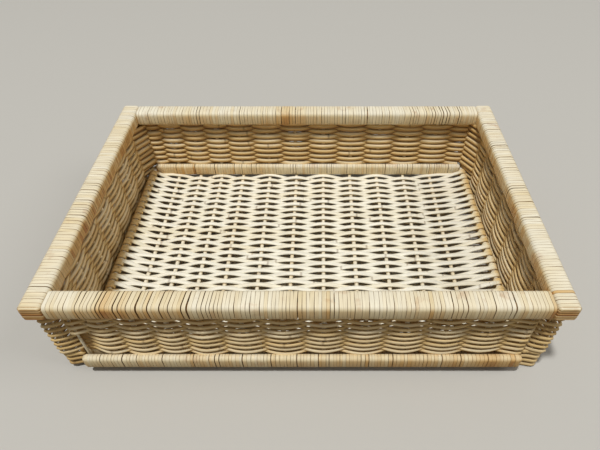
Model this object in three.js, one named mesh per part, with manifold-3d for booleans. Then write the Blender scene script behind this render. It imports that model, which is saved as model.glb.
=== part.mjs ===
// Rectangular cane tray-basket: a wrapped rim, wrapped base rails at the front and back, upright and
// floor stakes, and round cane woven through them. Millimetres, X is the width, Y the depth with the
// back at +Y, Z is up, and the origin is on the ground under the middle of the basket.
import * as THREE from "three";
import { mergeVertices } from "three/addons/utils/BufferGeometryUtils.js";
import Module from "manifold-3d";

const wasm = await Module();
wasm.setup();

// Overall size, over the rim and from the ground to the rim's top
const WIDTH = 450;
const DEPTH = 300;
const HEIGHT = 104;

// Clearance between two pieces that touch
const FIT = 0.3;

// Cane stock
const STAKE_DIAMETER = 4.2;
const WEAVER_THICKNESS = 3.2;
const PEEL_THICKNESS = 1;
const ROD_DIAMETER = 5;

// Rim: a pair of split rails in one wrap
const RIM_WIDTH = 20;
const RIM_HEIGHT = 17;
const RIM_CHAMFER = 4;

// Base rails: one each side of the stakes, each in its own wrap, with ends inset from the side walls' middle
const BASE_THICKNESS = 7.6;
const BASE_HEIGHT = 15.5;
const BASE_CHAMFER = 3;
const BASE_END_INSET = 15;

// Wraps: turns along each rail, the slit between turns and the width of a trimmed end
const RIM_LONG_TURNS = 9;
const RIM_SIDE_TURNS = 8;
const BASE_TURNS = 10;
const TURN_SLIT = 1;
const STRIP_END_WIDTH = 3;

// Stakes along the front and back, inset from the side walls' middle: one end bay and the close bays are on
// the left, wide bays fill the rest
const CORNER_STAKE_INSET = 18;
const LEFT_END_BAY = 25;
const CLOSE_BAYS = 3;
const CLOSE_BAY = 28.5;
const WIDE_BAY = 36;

// Stakes along the sides, and the corner posts at both ends of their rows, inset from the long walls' middle
const POST_INSET = 1.5;
const SIDE_END_INSET = 28;
const SIDE_BAY = 37.3;

// Weave: about how high the walls' rows and how far apart the floor's rows lie, evened out to fill
const ROW_PITCH = 4.5;
const FLOOR_ROW_PITCH = 5.02;

// Side rods: how far each end reaches over the end of an inner base rail
const ROD_LAP = 4;

// Faceting
const STAKE_SIDES = 6;
const ROD_SIDES = 8;
const BEND_STEPS = 2;
const TURN_STEPS = 4;
const SETTLING_PASSES = 8;
const SLIT_SAMPLES = 8;

// Cane colours
const PEEL_COLOUR = 0xe6d3a3;
const GOLDEN_PEEL_COLOUR = 0xdcb877;
const RAIL_COLOUR = 0xc9a76c;
const STAKE_COLOUR = 0xd8c08c;
const WALL_COLOUR = 0xcdb07a;
const FLOOR_COLOUR = 0xe9dab2;
const PEEL_ROUGHNESS = 0.45;
const CANE_ROUGHNESS = 0.6;

// Sizes that follow from the ones above
const STAKE_RADIUS = STAKE_DIAMETER / 2;
const WEAVER_HALF = WEAVER_THICKNESS / 2;
const ROD_RADIUS = ROD_DIAMETER / 2;
const PASSING_REACH = STAKE_RADIUS + FIT + WEAVER_HALF;
const FRONT_WALL_Y = -(DEPTH - RIM_WIDTH) / 2;
const SIDE_WALL_X = (WIDTH - RIM_WIDTH) / 2;
const RIM_BOTTOM = HEIGHT - RIM_HEIGHT;
const RIM_MIDDLE = HEIGHT - RIM_HEIGHT / 2;
const STAKE_TOP = HEIGHT - PEEL_THICKNESS - 2 * FIT;
const BASE_HALF_LENGTH = SIDE_WALL_X - BASE_END_INSET;
const BASE_OFFSET = STAKE_RADIUS + FIT + BASE_THICKNESS / 2;
const BASE_INNER_FACE = -FRONT_WALL_Y - STAKE_RADIUS - FIT - BASE_THICKNESS;
const ROD_X = BASE_HALF_LENGTH + FIT + ROD_RADIUS * Math.cos(Math.PI / ROD_SIDES);
const ROD_RISE = STAKE_RADIUS + FIT + BASE_HEIGHT / 2;

const basket = new THREE.Group();

function addPiece(name, geometry, colour, roughness) {
  const material = new THREE.MeshStandardMaterial({ color: colour, roughness, metalness: 0 });
  const mesh = new THREE.Mesh(geometry, material);
  mesh.name = name;
  basket.add(mesh);
  return mesh;
}

function numbered(name, index) {
  return name + "_" + String(index + 1).padStart(2, "0");
}

// Closed solids for cutting

function toSolid(geometry) {
  const bare = geometry.clone();
  bare.deleteAttribute("normal");
  bare.deleteAttribute("uv");
  const merged = mergeVertices(bare, 1e-4);
  return new wasm.Manifold(
    new wasm.Mesh({
      numProp: 3,
      vertProperties: new Float32Array(merged.attributes.position.array),
      triVerts: new Uint32Array(merged.index.array),
    }),
  );
}

function toGeometry(solid) {
  const mesh = solid.getMesh();
  const geometry = new THREE.BufferGeometry();
  geometry.setAttribute("position", new THREE.BufferAttribute(mesh.vertProperties, mesh.numProp));
  geometry.setIndex(new THREE.BufferAttribute(mesh.triVerts, 1));
  geometry.computeVertexNormals();
  return geometry;
}

// Cane bent along a route

// A route through given points whose cross-section keeps one axis square to the route and as near
// to the direction "across" as it can, so that a flat-sided cane never twists.
class CaneRoute extends THREE.Curve {
  constructor(points, across) {
    super();
    this.points = points;
    this.across = across;
  }

  indexAt(u) {
    return Math.round(u * (this.points.length - 1));
  }

  getPointAt(u) {
    return this.points[this.indexAt(u)].clone();
  }

  getTangentAt(u) {
    const index = this.indexAt(u);
    const here = this.points[index];
    const tangent = new THREE.Vector3();
    if (index > 0) tangent.add(here.clone().sub(this.points[index - 1]).normalize());
    if (index < this.points.length - 1) tangent.add(this.points[index + 1].clone().sub(here).normalize());
    return tangent.normalize();
  }

  computeFrenetFrames(segments) {
    const frames = { tangents: [], normals: [], binormals: [] };
    for (let step = 0; step <= segments; step++) {
      const tangent = this.getTangentAt(step / segments);
      const normal = this.across.clone().addScaledVector(tangent, -this.across.dot(tangent)).normalize();
      frames.tangents.push(tangent);
      frames.normals.push(normal);
      frames.binormals.push(tangent.clone().cross(normal));
    }
    return frames;
  }
}

function polygonShape(points) {
  return new THREE.Shape(points);
}

function roundSection(radius, sides) {
  const points = [];
  for (let side = 0; side < sides; side++) {
    const angle = (2 * Math.PI * (side + 0.5)) / sides;
    points.push(new THREE.Vector2(radius * Math.cos(angle), radius * Math.sin(angle)));
  }
  return polygonShape(points);
}

function squareSection(half) {
  return polygonShape([
    new THREE.Vector2(-half, -half),
    new THREE.Vector2(half, -half),
    new THREE.Vector2(half, half),
    new THREE.Vector2(-half, half),
  ]);
}

function bentCane(points, across, section) {
  return new THREE.ExtrudeGeometry(section, {
    steps: points.length - 1,
    bevelEnabled: false,
    extrudePath: new CaneRoute(points, across),
  });
}

const AXIS_X = new THREE.Vector3(1, 0, 0);
const AXIS_Y = new THREE.Vector3(0, 1, 0);
const AXIS_Z = new THREE.Vector3(0, 0, 1);
const WEAVER_SECTION = squareSection(WEAVER_HALF);
const STAKE_SECTION = roundSection(STAKE_RADIUS, STAKE_SIDES);

// Distance from a point to the line through two others, in the plane
function lineDistance(point, start, end) {
  const along = end.clone().sub(start);
  return Math.abs(along.cross(point.clone().sub(start))) / along.length();
}

// Points where a cane passes a row of stakes, each on its given side, moved out until the cane's
// straight runs clear every stake by the reach. Without end points the row closes on itself.
function passingPoints(centres, sides, reach, before, after) {
  let distances = centres.map(() => reach);
  const place = () => centres.map((centre, i) => centre.clone().addScaledVector(sides[i], distances[i]));
  for (let pass = 0; pass < SETTLING_PASSES; pass++) {
    const route = place();
    const last = centres.length - 1;
    distances = distances.map((distance, i) => {
      const previous = i > 0 ? route[i - 1] : (before ?? route[last]);
      const next = i < last ? route[i + 1] : (after ?? route[0]);
      const nearest = Math.min(
        lineDistance(centres[i], previous, route[i]),
        lineDistance(centres[i], route[i], next),
      );
      return (distance * reach) / nearest;
    });
  }
  return place();
}

// Rails and their wraps, made along X round the origin

// An octagon: a rectangle with its corners cut off, in the YZ plane and turning from Y to Z
function chamferedOutline(width, height, chamfer) {
  const y = width / 2;
  const z = height / 2;
  return [
    new THREE.Vector2(y, -z + chamfer),
    new THREE.Vector2(y, z - chamfer),
    new THREE.Vector2(y - chamfer, z),
    new THREE.Vector2(-y + chamfer, z),
    new THREE.Vector2(-y, z - chamfer),
    new THREE.Vector2(-y, -z + chamfer),
    new THREE.Vector2(-y + chamfer, -z),
    new THREE.Vector2(y - chamfer, -z),
  ];
}

// The same octagon with every face moved in
function insetOutline(width, height, chamfer, inset) {
  const cornerShare = 2 - Math.SQRT2;
  return chamferedOutline(width - 2 * inset, height - 2 * inset, chamfer - cornerShare * inset);
}

function railAlongX(outline, halfLength) {
  const rail = new THREE.ExtrudeGeometry(polygonShape(outline), {
    depth: 2 * halfLength,
    bevelEnabled: false,
  });
  rail.translate(0, 0, -halfLength);
  rail.applyMatrix4(new THREE.Matrix4().makeBasis(AXIS_Y, AXIS_Z, AXIS_X));
  return rail;
}

// How far round an outline each of its corners lies, as a share of the whole way round
function perimeterShares(outline) {
  const lengths = outline.map((point, i) => point.distanceTo(outline.at(i - 1)));
  lengths[0] = 0;
  const closing = outline[0].distanceTo(outline.at(-1));
  const whole = lengths.reduce((sum, length) => sum + length, closing);
  let travelled = 0;
  return lengths.map((length) => {
    travelled += length;
    return travelled / whole;
  });
}

// A strip of peel wound round an octagon from end to end in one piece, trimmed square at both ends
function woundStrip(name, width, height, chamfer, halfLength, turns) {
  const outer = chamferedOutline(width, height, chamfer);
  const inner = insetOutline(width, height, chamfer, PEEL_THICKNESS);
  const facets = outer.length;
  const shares = perimeterShares(outer);
  const pitch = (2 * halfLength) / turns;
  const turnAt = (ring) => Math.floor(ring / facets) + shares[ring % facets];
  const shortestEnd = STRIP_END_WIDTH / pitch;
  let first = 0;
  while (turnAt(first) < shortestEnd) first++;
  let last = first;
  while (turnAt(last + 1) <= turns + 1 - shortestEnd) last++;
  const lowEdge = [];
  const highEdge = [];
  const positions = [];
  const indices = [];
  for (let ring = first; ring <= last; ring++) {
    const turn = turnAt(ring);
    const low = Math.max(-halfLength, -halfLength + pitch * (turn - 1) + TURN_SLIT);
    const high = Math.min(halfLength, -halfLength + pitch * turn);
    const under = inner[ring % facets];
    const over = outer[ring % facets];
    positions.push(low, under.x, under.y, high, under.x, under.y);
    positions.push(high, over.x, over.y, low, over.x, over.y);
    lowEdge.push(new THREE.Vector3(low, under.x, under.y));
    highEdge.push(new THREE.Vector3(high, under.x, under.y));
  }
  const rings = lowEdge.length;
  const corners = positions.length / (3 * rings);
  for (let ring = 0; ring < rings - 1; ring++) {
    for (let corner = 0; corner < corners; corner++) {
      const a = ring * corners + corner;
      const b = ring * corners + ((corner + 1) % corners);
      indices.push(a, b, b + corners, a, b + corners, a + corners);
    }
  }
  const end = (rings - 1) * corners;
  indices.push(0, 3, 2, 0, 2, 1);
  indices.push(end, end + 1, end + 2, end, end + 2, end + 3);
  const strip = new THREE.BufferGeometry();
  strip.setAttribute("position", new THREE.Float32BufferAttribute(positions, 3));
  strip.setIndex(indices);
  strip.computeVertexNormals();
  console.log(name + " least gap between turns " + leastSlit(lowEdge, highEdge, facets).toFixed(2) + " mm");
  return strip;
}

// Least distance between the high edge of each turn and the low edge of the next
function leastSlit(lowEdge, highEdge, facets) {
  let least = Infinity;
  const nearest = new THREE.Vector3();
  for (let ring = 0; ring + facets + 1 < lowEdge.length; ring++) {
    const facing = new THREE.Line3(lowEdge[ring + facets], lowEdge[ring + facets + 1]);
    for (let sample = 0; sample <= SLIT_SAMPLES; sample++) {
      const point = highEdge[ring].clone().lerp(highEdge[ring + 1], sample / SLIT_SAMPLES);
      facing.closestPointToPoint(point, true, nearest);
      least = Math.min(least, nearest.distanceTo(point));
    }
  }
  return least;
}

// Stake places

function evenSteps(from, to, bay) {
  const bays = Math.max(1, Math.round((to - from) / bay));
  return Array.from({ length: bays + 1 }, (_, i) => from + ((to - from) * i) / bays);
}

const cornerX = SIDE_WALL_X - CORNER_STAKE_INSET;
const floorStakeX = [];
for (let i = 0; i <= CLOSE_BAYS; i++) floorStakeX.push(-cornerX + LEFT_END_BAY + i * CLOSE_BAY);
floorStakeX.push(...evenSteps(floorStakeX.at(-1), cornerX, WIDE_BAY).slice(1, -1));
const longWallX = [-cornerX, ...floorStakeX, cornerX];
const sideEndY = -FRONT_WALL_Y - SIDE_END_INSET;
const sideWallY = evenSteps(-sideEndY, sideEndY, SIDE_BAY);

const postY = -FRONT_WALL_Y - POST_INSET;
const sideRowY = [-postY, ...sideWallY, postY];

// All uprights in order: along the front, up the right side, back along the back, down the left
const uprights = [
  ...longWallX.map((x) => new THREE.Vector2(x, FRONT_WALL_Y)),
  ...sideRowY.map((y) => new THREE.Vector2(SIDE_WALL_X, y)),
  ...longWallX.map((x) => new THREE.Vector2(x, -FRONT_WALL_Y)).reverse(),
  ...sideRowY.map((y) => new THREE.Vector2(-SIDE_WALL_X, y)).reverse(),
];

function isPost(upright) {
  return Math.abs(upright.x) === SIDE_WALL_X && Math.abs(upright.y) === postY;
}

// Where a cane passes some uprights, by their numbers. It goes round the outside of a corner post, or cuts
// the corner inside it in a straight run. Without end points the uprights close on themselves.
function wallPassing(indices, isOutside, before, after) {
  const passed = indices.filter((index) => isOutside(index) || !isPost(uprights[index]));
  const centres = passed.map((index) => uprights[index]);
  const sides = centres.map((centre, i) => {
    const previous = i > 0 ? centres[i - 1] : (before ?? centres.at(-1));
    const next = i < centres.length - 1 ? centres[i + 1] : (after ?? centres[0]);
    const arriving = centre.clone().sub(previous).normalize();
    const leaving = next.clone().sub(centre).normalize();
    const along = arriving.add(leaving).normalize();
    const outward = new THREE.Vector2(along.y, -along.x);
    return outward.multiplyScalar(isOutside(passed[i]) ? 1 : -1);
  });
  const points = passingPoints(centres, sides, PASSING_REACH, before, after);
  return new Map(passed.map((index, i) => [index, points[i]]));
}

// Floor weave, first with heights over the floor stakes, so that the stakes' height can follow from it

const rodReach = (ROD_RADIUS + FIT + WEAVER_HALF) / Math.cos(Math.PI / (2 * TURN_STEPS));
const shortestEndBay = ROD_X - Math.max(...floorStakeX.map(Math.abs));
const endSlope = Math.atan((ROD_RISE + rodReach + PASSING_REACH) / shortestEndBay);
const overRodReach = rodReach / Math.cos(endSlope);
const floorRowEnd = BASE_INNER_FACE - FIT - WEAVER_HALF;
const floorRows = Math.round((2 * floorRowEnd) / FLOOR_ROW_PITCH) + 1;
const floorRowPitch = (2 * floorRowEnd) / (floorRows - 1);

// Where a floor row crosses the left rod, the stakes and the right rod, as x and height
function floorCrossings(row) {
  const over = (crossing) => ((crossing + row) % 2 === 0 ? 1 : -1);
  const lastCrossing = floorStakeX.length + 1;
  const rodHeight = (crossing) => ROD_RISE + (over(crossing) > 0 ? overRodReach : -rodReach);
  const atLeft = new THREE.Vector2(-ROD_X, rodHeight(0));
  const atRight = new THREE.Vector2(ROD_X, rodHeight(lastCrossing));
  const centres = floorStakeX.map((x) => new THREE.Vector2(x, 0));
  const sides = floorStakeX.map((_, i) => new THREE.Vector2(0, over(i + 1)));
  return [atLeft, ...passingPoints(centres, sides, PASSING_REACH, atLeft, atRight), atRight];
}

const crossings = [floorCrossings(0), floorCrossings(1)];
const lowestCrossing = Math.min(...crossings.flat().map((point) => point.y));
const FLOOR_STAKE_Z = FIT + WEAVER_HALF - lowestCrossing;
const ROD_Z = FLOOR_STAKE_Z + ROD_RISE;
const BASE_BOTTOM = FLOOR_STAKE_Z + STAKE_RADIUS + FIT;
const BASE_TOP = BASE_BOTTOM + BASE_HEIGHT;
const BASE_MIDDLE = BASE_BOTTOM + BASE_HEIGHT / 2;

// The half turn that takes a cane round a side rod from one row to the next
function rodTurn(x, row) {
  const outside = Math.sign(x);
  const rowY = -floorRowEnd + row * floorRowPitch;
  const fromTop = (x > 0 ? crossings[row % 2].at(-1) : crossings[row % 2][0]).y > ROD_RISE;
  const points = [];
  for (let step = 1; step < TURN_STEPS; step++) {
    const angle = (Math.PI * step) / TURN_STEPS;
    const height = rodReach * Math.cos(angle) * (fromTop ? 1 : -1);
    const y = rowY + (floorRowPitch * step) / TURN_STEPS;
    points.push(new THREE.Vector3(x + outside * rodReach * Math.sin(angle), y, ROD_Z + height));
  }
  return points;
}

function floorCane() {
  const points = [];
  for (let row = 0; row < floorRows; row++) {
    const y = -floorRowEnd + row * floorRowPitch;
    const across = crossings[row % 2].map((point) => new THREE.Vector3(point.x, y, FLOOR_STAKE_Z + point.y));
    const towardsRight = row % 2 === 0;
    points.push(...(towardsRight ? across : across.reverse()));
    if (row < floorRows - 1) points.push(...rodTurn(towardsRight ? ROD_X : -ROD_X, row));
  }
  return bentCane(points, AXIS_Y, WEAVER_SECTION);
}

addPiece("floor_weaver", floorCane(), FLOOR_COLOUR, CANE_ROUGHNESS);

// Stakes

const BEND_RADIUS = BASE_CHAMFER + FIT + STAKE_RADIUS;

// One bent stake: down from the front rim, under the floor weave and up to the back rim
function floorStake(x) {
  const half = [new THREE.Vector3(x, FRONT_WALL_Y, STAKE_TOP)];
  for (let step = 0; step <= BEND_STEPS; step++) {
    const angle = (Math.PI / 2) * (step / BEND_STEPS);
    const y = FRONT_WALL_Y + BEND_RADIUS * (1 - Math.cos(angle));
    const z = FLOOR_STAKE_Z + BEND_RADIUS * (1 - Math.sin(angle));
    half.push(new THREE.Vector3(x, y, z));
  }
  const back = half.map((point) => new THREE.Vector3(point.x, -point.y, point.z)).reverse();
  return bentCane([...half, ...back], AXIS_X, STAKE_SECTION);
}

function uprightStake(x, y, foot) {
  const ends = [new THREE.Vector3(x, y, foot), new THREE.Vector3(x, y, STAKE_TOP)];
  return bentCane(ends, AXIS_X, STAKE_SECTION);
}

floorStakeX.forEach((x, i) => {
  addPiece(numbered("floor_stake", i), floorStake(x), STAKE_COLOUR, CANE_ROUGHNESS);
});
for (const [end, y] of [["front", FRONT_WALL_Y], ["back", -FRONT_WALL_Y]]) {
  for (const [hand, x] of [["left", -cornerX], ["right", cornerX]]) {
    const stake = uprightStake(x, y, BASE_BOTTOM + FIT);
    addPiece("corner_stake_" + end + "_" + hand, stake, STAKE_COLOUR, CANE_ROUGHNESS);
    const post = uprightStake(Math.sign(x) * SIDE_WALL_X, Math.sign(y) * postY, 0);
    addPiece("corner_post_" + end + "_" + hand, post, STAKE_COLOUR, CANE_ROUGHNESS);
  }
}
for (const [hand, x] of [["left", -SIDE_WALL_X], ["right", SIDE_WALL_X]]) {
  sideWallY.forEach((y, i) => {
    addPiece(numbered("side_stake_" + hand, i), uprightStake(x, y, 0), STAKE_COLOUR, CANE_ROUGHNESS);
  });
}

// Side rods, set against the ends of the inner base rails

for (const [hand, x] of [["left", -ROD_X], ["right", ROD_X]]) {
  const end = BASE_INNER_FACE + ROD_LAP;
  const ends = [new THREE.Vector3(x, -end, ROD_Z), new THREE.Vector3(x, end, ROD_Z)];
  const rod = bentCane(ends, AXIS_X, roundSection(ROD_RADIUS, ROD_SIDES));
  addPiece("side_rod_" + hand, rod, STAKE_COLOUR, CANE_ROUGHNESS);
}

// Wall weave: two canes that chase each other up the wall, one row apart, on opposite sides of each stake

const rowStart = BASE_TOP + FIT + WEAVER_HALF;
const rowEnd = RIM_BOTTOM - FIT - WEAVER_HALF;
const wallRows = Math.round((rowEnd - rowStart) / ROW_PITCH);
const wallRowPitch = (rowEnd - rowStart) / wallRows;
const climbPerStake = (2 * wallRowPitch) / uprights.length;
const stakesPassed = (wallRows * uprights.length) / 2;

function wallCane(startIndex, outsideOnEven) {
  const passing = wallPassing([...uprights.keys()], (index) => (index % 2 === 0) === outsideOnEven);
  const points = [];
  for (let step = 0; step <= stakesPassed; step++) {
    const at = passing.get((startIndex + step) % uprights.length);
    if (at) points.push(new THREE.Vector3(at.x, at.y, rowStart + step * climbPerStake));
  }
  return bentCane(points, AXIS_Z, WEAVER_SECTION);
}

const firstStart = 1;
const secondStart = firstStart + uprights.length / 2;
addPiece("wall_weaver_01", wallCane(firstStart, true), WALL_COLOUR, CANE_ROUGHNESS);
addPiece("wall_weaver_02", wallCane(secondStart, false), WALL_COLOUR, CANE_ROUGHNESS);

// Lower side weave: one cane a side, to and fro under the wall weave, turned at the base rails' ends

const sideTurnX = BASE_HALF_LENGTH + WEAVER_HALF + 2 * FIT;
const sideTurnY = -FRONT_WALL_Y + BASE_OFFSET;
const sideRowStart = FIT + WEAVER_HALF;
const sideRowEnd = rowStart + climbPerStake * (longWallX.length - 1 - firstStart) - wallRowPitch;
const sideRows = Math.round((sideRowEnd - sideRowStart) / ROW_PITCH) + 1;
const sideRowPitch = (sideRowEnd - sideRowStart) / (sideRows - 1);

// The row under the wall weave passes each stake on the side that the wall weave leaves free
function sideCane(firstIndex, topPhase) {
  const indices = sideRowY.map((_, i) => firstIndex + i);
  const turnBy = (post) => new THREE.Vector2(Math.sign(post.x) * sideTurnX, Math.sign(post.y) * sideTurnY);
  const before = turnBy(uprights[indices[0]]);
  const after = turnBy(uprights[indices.at(-1)]);
  const points = [];
  for (let row = 0; row < sideRows; row++) {
    const rowsBelowTop = sideRows - 1 - row;
    const isOutside = (index) => (index + topPhase + rowsBelowTop) % 2 === 0;
    const route = [before, ...wallPassing(indices, isOutside, before, after).values(), after];
    const z = sideRowStart + row * sideRowPitch;
    const spaced = route.map((point) => new THREE.Vector3(point.x, point.y, z));
    points.push(...(row % 2 === 0 ? spaced : spaced.reverse()));
  }
  return bentCane(points, AXIS_X, WEAVER_SECTION);
}

const rightSideIndex = longWallX.length;
const leftSideIndex = 2 * longWallX.length + sideRowY.length;
addPiece("side_weaver_right", sideCane(rightSideIndex, 1), WALL_COLOUR, CANE_ROUGHNESS);
addPiece("side_weaver_left", sideCane(leftSideIndex, 0), WALL_COLOUR, CANE_ROUGHNESS);

// Base rails and wraps

for (const [end, wallY] of [["front", FRONT_WALL_Y], ["back", -FRONT_WALL_Y]]) {
  for (const [place, away] of [["outer", Math.sign(wallY)], ["inner", -Math.sign(wallY)]]) {
    const name = "base_" + end + "_" + place;
    const core = insetOutline(BASE_THICKNESS, BASE_HEIGHT, BASE_CHAMFER, PEEL_THICKNESS + FIT);
    const rail = addPiece(name + "_rail", railAlongX(core, BASE_HALF_LENGTH), RAIL_COLOUR, CANE_ROUGHNESS);
    const strip = woundStrip(
      name + "_wrap", BASE_THICKNESS, BASE_HEIGHT, BASE_CHAMFER, BASE_HALF_LENGTH, BASE_TURNS,
    );
    const wrap = addPiece(name + "_wrap", strip, GOLDEN_PEEL_COLOUR, PEEL_ROUGHNESS);
    rail.position.set(0, wallY + away * BASE_OFFSET, BASE_MIDDLE);
    wrap.position.copy(rail.position);
  }
}

// Rim: the side rims run the full depth, and the front and back rims butt between them

const RIM_RAIL_THICKNESS = RIM_WIDTH / 2 - PEEL_THICKNESS - STAKE_RADIUS - 2 * FIT;

// Half of the octagon inside the wrap, flat where it bears on the stakes
function rimRailOutline() {
  const whole = insetOutline(RIM_WIDTH, RIM_HEIGHT, RIM_CHAMFER, PEEL_THICKNESS + FIT);
  const outerHalf = whole.filter((point) => point.x > 0);
  const inner = outerHalf[1].x - RIM_RAIL_THICKNESS;
  const top = outerHalf[2].y;
  return [
    new THREE.Vector2(inner, -top),
    outerHalf.at(-1),
    ...outerHalf.slice(0, -1),
    new THREE.Vector2(inner, top),
  ];
}

// The wrap, with its peel folded over the rim's ends where those show, and a square hole in its underside
// for each stake
function rimWrap(name, halfLength, turns, stakesAlong, endsFolded) {
  let solid = toSolid(woundStrip(name, RIM_WIDTH, RIM_HEIGHT, RIM_CHAMFER, halfLength, turns));
  const foldOutline = insetOutline(RIM_WIDTH, RIM_HEIGHT, RIM_CHAMFER, PEEL_THICKNESS / 2);
  for (const end of endsFolded ? [-1, 1] : []) {
    const fold = railAlongX(foldOutline, PEEL_THICKNESS / 2);
    fold.translate(end * (halfLength - PEEL_THICKNESS / 2), 0, 0);
    solid = solid.add(toSolid(fold));
  }
  const hole = STAKE_DIAMETER + 2 * FIT;
  const holeHeight = 4 * PEEL_THICKNESS;
  for (const along of stakesAlong) {
    const cutter = new THREE.BoxGeometry(hole, hole, holeHeight);
    cutter.translate(along, 0, -RIM_HEIGHT / 2);
    solid = solid.subtract(toSolid(cutter));
  }
  return toGeometry(solid);
}

function addRimSide(side, x, y, turned, halfLength, turns, stakesAlong) {
  const placed = new THREE.Group();
  placed.position.set(x, y, RIM_MIDDLE);
  placed.rotation.z = turned ? Math.PI / 2 : 0;
  basket.add(placed);
  const outerFirst = turned ? x < 0 : y > 0;
  const railHalf = turned ? halfLength - PEEL_THICKNESS - FIT : halfLength;
  for (const [place, half] of [["outer", outerFirst], ["inner", !outerFirst]]) {
    const name = "rim_" + side + "_" + place + "_rail";
    const rail = addPiece(name, railAlongX(rimRailOutline(), railHalf), RAIL_COLOUR, CANE_ROUGHNESS);
    rail.rotation.z = half ? 0 : Math.PI;
    placed.add(rail);
  }
  const name = "rim_" + side + "_wrap";
  const wrap = rimWrap(name, halfLength, turns, stakesAlong, turned);
  placed.add(addPiece(name, wrap, PEEL_COLOUR, PEEL_ROUGHNESS));
}

const longRimHalf = WIDTH / 2 - RIM_WIDTH - FIT;
addRimSide("front", 0, FRONT_WALL_Y, false, longRimHalf, RIM_LONG_TURNS, longWallX);
addRimSide("back", 0, -FRONT_WALL_Y, false, longRimHalf, RIM_LONG_TURNS, longWallX);
addRimSide("left", -SIDE_WALL_X, 0, true, DEPTH / 2, RIM_SIDE_TURNS, sideRowY);
addRimSide("right", SIDE_WALL_X, 0, true, DEPTH / 2, RIM_SIDE_TURNS, sideRowY);

export default basket;
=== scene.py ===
"""Cane basket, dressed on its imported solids.

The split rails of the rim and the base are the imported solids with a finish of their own. Stakes, rods and
woven canes are swept along routes worked out from the solids' boxes. Peel is laid turn by turn on the rails
and folded over their ends.
"""
import math
import random

import bmesh
import bpy
from bpy.props import FloatProperty, FloatVectorProperty, PointerProperty
from mathutils import Color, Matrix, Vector


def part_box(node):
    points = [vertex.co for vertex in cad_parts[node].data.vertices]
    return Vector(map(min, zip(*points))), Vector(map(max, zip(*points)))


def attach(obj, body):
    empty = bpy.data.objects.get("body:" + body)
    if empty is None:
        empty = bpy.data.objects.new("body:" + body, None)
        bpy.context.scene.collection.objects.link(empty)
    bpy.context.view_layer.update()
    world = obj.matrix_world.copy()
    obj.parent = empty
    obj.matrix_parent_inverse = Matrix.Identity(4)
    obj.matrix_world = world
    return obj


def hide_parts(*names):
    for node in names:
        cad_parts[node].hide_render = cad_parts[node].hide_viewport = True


bl_info = {
    "name": "Cane Basket",
    "version": (1, 0, 0),
    "blender": (4, 5, 0),
    "location": "View3D > Sidebar > Basket",
    "description": "Weaves, wraps and lights a cane tray-basket on its packed solids",
    "category": "Object",
}

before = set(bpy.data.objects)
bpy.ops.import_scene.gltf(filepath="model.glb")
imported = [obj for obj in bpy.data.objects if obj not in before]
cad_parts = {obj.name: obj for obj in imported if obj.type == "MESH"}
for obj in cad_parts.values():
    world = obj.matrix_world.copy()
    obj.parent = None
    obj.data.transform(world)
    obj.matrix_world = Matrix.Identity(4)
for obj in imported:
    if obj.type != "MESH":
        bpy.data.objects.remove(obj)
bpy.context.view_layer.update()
BODY = "root"
SIDES = ("left", "right")
ACROSS = (1.0, 0.0, 0.0)
BACK = (0.0, 1.0, 0.0)
UP = (0.0, 0.0, 1.0)
SCREEN_WHITE = 255


def named(prefix):
    """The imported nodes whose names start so, in order."""
    return sorted(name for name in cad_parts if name.startswith(prefix))


def middle(node):
    low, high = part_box(node)
    return (low + high) / 2


def extent(node):
    low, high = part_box(node)
    return high - low


def clamp(value, low, high):
    return max(low, min(high, value))


# What a user may change


def length(label, words, value):
    return FloatProperty(
        name=label, description=words, default=value, min=0.0001, max=1, unit="LENGTH", precision=5,
    )


def colour(label, words, *screen):
    """A colour, whose default is given in screen values from 0 to 255."""
    shade = Color([value / SCREEN_WHITE for value in screen]).from_srgb_to_scene_linear()
    return FloatVectorProperty(
        name=label, description=words, default=tuple(shade), size=3, min=0, max=1, subtype="COLOR",
    )


class BasketSizes(bpy.types.PropertyGroup):
    """Sizes of the cane and the peel"""

    stake_diameter: length("Stake diameter", "Thickness of the upright and floor stakes", 0.0042)
    stake_bend: length("Stake bend", "Radius at which a floor stake turns up into the wall", 0.0054)
    corner_stake_diameter: length("Corner stake diameter", "Thickness of the four corner stakes", 0.0024)
    wall_weaver_thickness: length("Wall weaver thickness", "Wall cane, through the wall", 0.0034)
    floor_weaver_thickness: length("Floor weaver thickness", "Floor cane, through the floor", 0.0025)
    wall_weaver_width: length("Wall weaver width", "Wall cane, up the wall", 0.005)
    floor_weaver_width: length("Floor weaver width", "Floor cane, along the stakes", 0.0055)
    wall_row_pitch: length("Wall row pitch", "About how far apart the rows of the walls lie", 0.0037)
    floor_row_pitch: length("Floor row pitch", "About how far apart the rows of the floor lie", 0.00502)
    corner_bow: length("Corner bow", "How far a cane bows out round a corner post", 0.0065)
    wobble: length("Wobble", "How far a woven cane strays from its even row", 0.0004)
    peel_thickness: length("Peel thickness", "Thickness of the wrapping peel", 0.0009)
    rim_turn: length("Rim turn width", "Width of one turn of peel on the rim", 0.0031)
    base_turn: length("Base turn width", "Width of one turn of peel on the base rails", 0.003)
    rim_corner: length("Rim corner", "Radius of the wrapped rim's long edges", 0.0043)
    end_round: length("End round", "Radius at which the peel rounds the ends of the rails", 0.002)
    base_corner: length("Base corner", "Radius of the wrapped base rails' long edges", 0.0035)


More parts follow.
